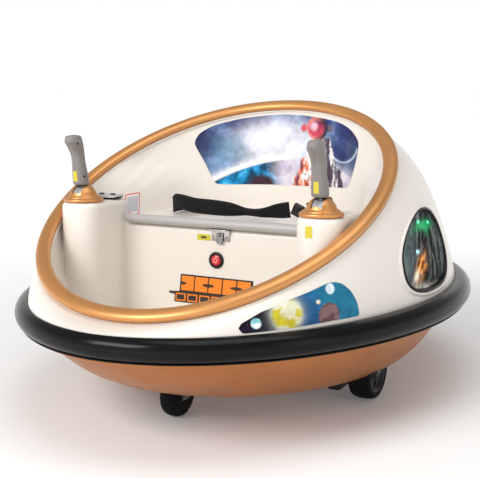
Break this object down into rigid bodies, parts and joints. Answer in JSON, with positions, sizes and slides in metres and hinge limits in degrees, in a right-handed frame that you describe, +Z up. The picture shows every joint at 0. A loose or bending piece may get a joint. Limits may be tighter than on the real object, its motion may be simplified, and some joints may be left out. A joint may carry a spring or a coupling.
{
  "type": "toddler ride-on bumper car",
  "caption": "Battery ride-on bumper car for a toddler: dished shell in an oval rubber bumper, joysticks, hinged seat with lap belt, side lamps and driven wheels.",
  "frame": {"origin": "on the ground, under the middle of the oval bumper", "axes": "+Z up; the front of the car faces -Y; the rider's left hand is on the +X side"},
  "size_m": [0.76, 1.026, 0.5078],
  "materials": {
    "cream_plastic": "smooth moulded cream plastic, soft gloss",
    "copper_plastic": "moulded plastic with a copper-gold metallic coat",
    "black_rubber": "semi-gloss black bumper rubber",
    "black_plastic": "fine satin black plastic",
    "grey_plastic": "warm grey satin plastic",
    "bright_steel": "plain bright steel",
    "white_nylon": "off-white nylon gear plastic",
    "clear_plastic": "clear glossy lamp lens",
    "chromed_plastic": "mirror-bright lamp bowl",
    "red_plastic": "glossy red push button",
    "webbing": "woven black webbing",
    "wheel_rubber": "matte black tread"
  },
  "bodies": {
    "chassis": {"battery": "black_plastic", "battery_clamp": "bright_steel", "bumper_ring": "black_rubber", "button_panel": "grey_plastic", "caster_bush_front": "white_nylon", "caster_bush_rear": "white_nylon", "charge_socket": "black_plastic", "cockpit_tub": "cream_plastic", "control_box": "black_plastic", "gearbox_case_left": "white_nylon", "gearbox_case_right": "white_nylon", "lamp_gasket_left": "black_rubber", "lamp_gasket_right": "black_rubber", "lamp_lens_left": "clear_plastic", "lamp_lens_right": "clear_plastic", "lamp_reflector_left": "chromed_plastic", "lamp_reflector_right": "chromed_plastic", "latch_plate": "bright_steel", "lower_shell": "copper_plastic", "motor_left": "bright_steel", "motor_right": "bright_steel", "power_bezel": "black_plastic", "rim_trim": "copper_plastic", "speaker": "black_plastic", "stick_base_left": "copper_plastic", "stick_base_right": "copper_plastic", "stick_switches_left": "black_plastic", "stick_switches_right": "black_plastic", "upper_shell": "cream_plastic", "wiring_loom": "black_rubber"},
    "seat": {"seat_lid": "cream_plastic", "seat_roll": "grey_plastic", "belt_left": "webbing", "belt_right": "webbing", "belt_buckle": "black_plastic"},
    "latch_catch": {"latch_tongue": "bright_steel"},
    "power_key": {"power_button": "red_plastic"},
    "music_key": {"music_button": "black_plastic"},
    "horn_key": {"horn_button": "black_plastic"},
    "stick_left": {"stick_core_left": "grey_plastic", "grip_outer_left": "grey_plastic", "grip_inner_left": "grey_plastic"},
    "drive_wheel_left": {"wheel_tyre_left": "wheel_rubber", "wheel_hub_left": "black_plastic", "wheel_axle_left": "bright_steel", "output_gear_left": "white_nylon"},
    "pinion_left": {"motor_pinion_left": "white_nylon"},
    "stick_right": {"stick_core_right": "grey_plastic", "grip_outer_right": "grey_plastic", "grip_inner_right": "grey_plastic"},
    "drive_wheel_right": {"wheel_tyre_right": "wheel_rubber", "wheel_hub_right": "black_plastic", "wheel_axle_right": "bright_steel", "output_gear_right": "white_nylon"},
    "pinion_right": {"motor_pinion_right": "white_nylon"},
    "swivel_front": {"caster_fork_front": "bright_steel"},
    "caster_roller_front": {"caster_wheel_front": "wheel_rubber"},
    "swivel_rear": {"caster_fork_rear": "bright_steel"},
    "caster_roller_rear": {"caster_wheel_rear": "wheel_rubber"}
  },
  "joints": [
    {"name": "stick_tilt_left", "type": "hinge", "parent": "chassis", "child": "stick_left", "pos_m": [0.2242, -0.2253, 0.3385], "axis": [1, 0, 0], "range_deg": [-18, 18], "stiffness_Nm_per_rad": 1.5},
    {"name": "wheel_spin_left", "type": "hinge", "parent": "chassis", "child": "drive_wheel_left", "pos_m": [0.2386, -0.048, 0.05], "axis": [1, 0, 0], "continuous": true},
    {"name": "pinion_spin_left", "type": "hinge", "parent": "chassis", "child": "pinion_left", "pos_m": [0.19, -0.01625, 0.0735], "axis": [1, 0, 0], "continuous": true},
    {"name": "stick_tilt_right", "type": "hinge", "parent": "chassis", "child": "stick_right", "pos_m": [-0.2242, -0.2253, 0.3385], "axis": [1, 0, 0], "range_deg": [-18, 18], "stiffness_Nm_per_rad": 1.5},
    {"name": "wheel_spin_right", "type": "hinge", "parent": "chassis", "child": "drive_wheel_right", "pos_m": [-0.2386, -0.048, 0.05], "axis": [1, 0, 0], "continuous": true},
    {"name": "pinion_spin_right", "type": "hinge", "parent": "chassis", "child": "pinion_right", "pos_m": [-0.19, -0.01625, 0.0735], "axis": [1, 0, 0], "continuous": true},
    {"name": "swivel_turn_front", "type": "hinge", "parent": "chassis", "child": "swivel_front", "pos_m": [0, -0.3, 0.0785], "axis": [0, 0, 1], "continuous": true},
    {"name": "caster_roll_front", "type": "hinge", "parent": "swivel_front", "child": "caster_roller_front", "pos_m": [0, -0.28, 0.0375], "axis": [1, 0, 0], "continuous": true},
    {"name": "swivel_turn_rear", "type": "hinge", "parent": "chassis", "child": "swivel_rear", "pos_m": [0, 0.3, 0.0785], "axis": [0, 0, 1], "continuous": true},
    {"name": "caster_roll_rear", "type": "hinge", "parent": "swivel_rear", "child": "caster_roller_rear", "pos_m": [0, 0.32, 0.0375], "axis": [1, 0, 0], "continuous": true},
    {"name": "seat_open", "type": "hinge", "parent": "chassis", "child": "seat", "pos_m": [0, 0.088, 0.291], "axis": [-1, 0, 0], "range_deg": [0, 45]},
    {"name": "latch_turn", "type": "hinge", "parent": "chassis", "child": "latch_catch", "pos_m": [0.0101, -0.159, 0.2808], "axis": [0, 1, 0], "range_deg": [0, 90]},
    {"name": "power_press", "type": "slide", "parent": "chassis", "child": "power_key", "axis": [0, 1, 0], "range_m": [0, 0.002], "stiffness_N_per_m": 800},
    {"name": "music_press", "type": "slide", "parent": "chassis", "child": "music_key", "axis": [0, 0.0349, -0.9994], "range_m": [0, 0.0015], "stiffness_N_per_m": 500},
    {"name": "horn_press", "type": "slide", "parent": "chassis", "child": "horn_key", "axis": [0, 0.0349, -0.9994], "range_m": [0, 0.0015], "stiffness_N_per_m": 500}
  ],
  "couplings": [
    {"joint": "pinion_spin_left", "follows": "wheel_spin_left", "ratio": -2.5},
    {"joint": "pinion_spin_right", "follows": "wheel_spin_right", "ratio": -2.5}
  ]
}
